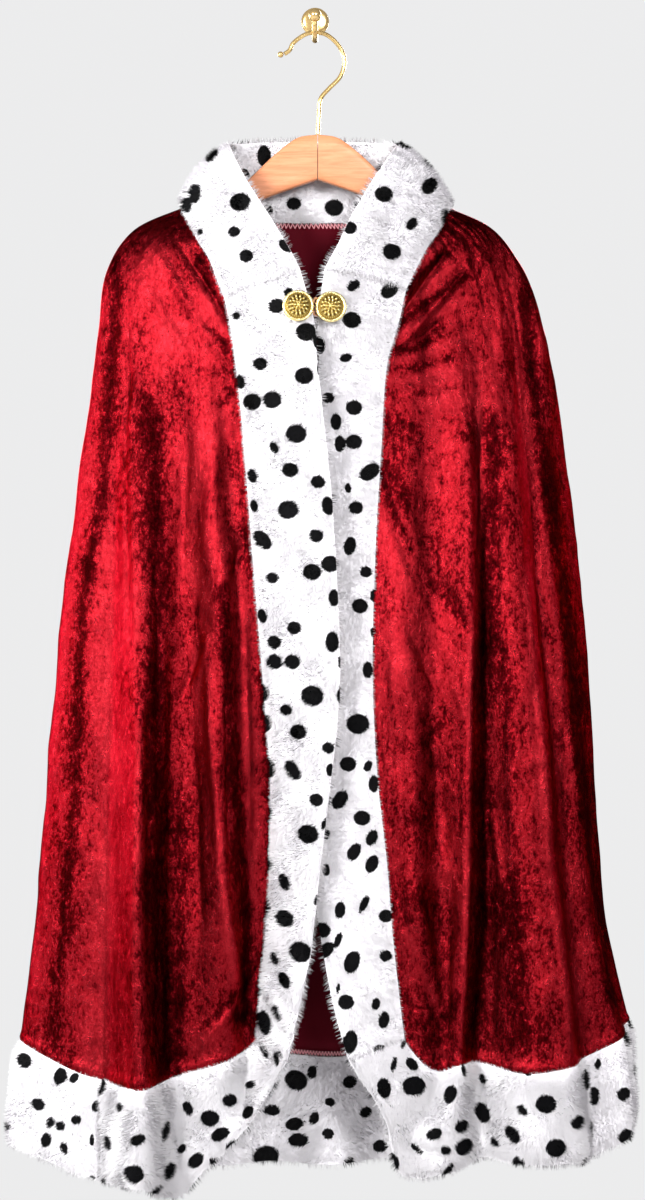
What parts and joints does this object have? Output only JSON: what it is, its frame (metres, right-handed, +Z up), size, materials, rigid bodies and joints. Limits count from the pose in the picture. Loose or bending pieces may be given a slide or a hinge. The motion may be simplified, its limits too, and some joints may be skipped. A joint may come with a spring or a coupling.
{
  "type": "king costume cape",
  "caption": "Child's king costume cape of crushed red velvet with spotted fur collar, front bands and hem, fastened by a button clasp and hung from a wooden hanger on a wall hook.",
  "frame": {"origin": "middle of the flat back of the wall hook's rose, which rests on the wall", "axes": "+Z up, +X to the right as seen from the front, +Y into the wall, so the cape's front faces -Y"},
  "size_m": [0.5139, 0.1411, 0.9637],
  "materials": {
    "velvet": "crushed, shiny",
    "fur": "short soft pile with black spots",
    "brass": "polished",
    "wood": "satin"
  },
  "bodies": {
    "root": {"velvet_front_left": "velvet", "velvet_front_right": "velvet", "velvet_back": "velvet", "fur_hem_left": "fur", "fur_hem_right": "fur", "fur_hem_back": "fur", "fur_collar": "fur", "fur_band_left": "fur", "fur_band_right": "fur", "clasp_button_left": "brass", "clasp_button_right": "brass", "clasp_link": "brass", "hanger_arm_left": "wood", "hanger_arm_right": "wood", "hanger_wire": "brass", "hanger_bead": "brass", "wall_hook_rose": "brass", "wall_hook_finger": "brass", "wall_hook_ball": "brass"}
  },
  "joints": []
}
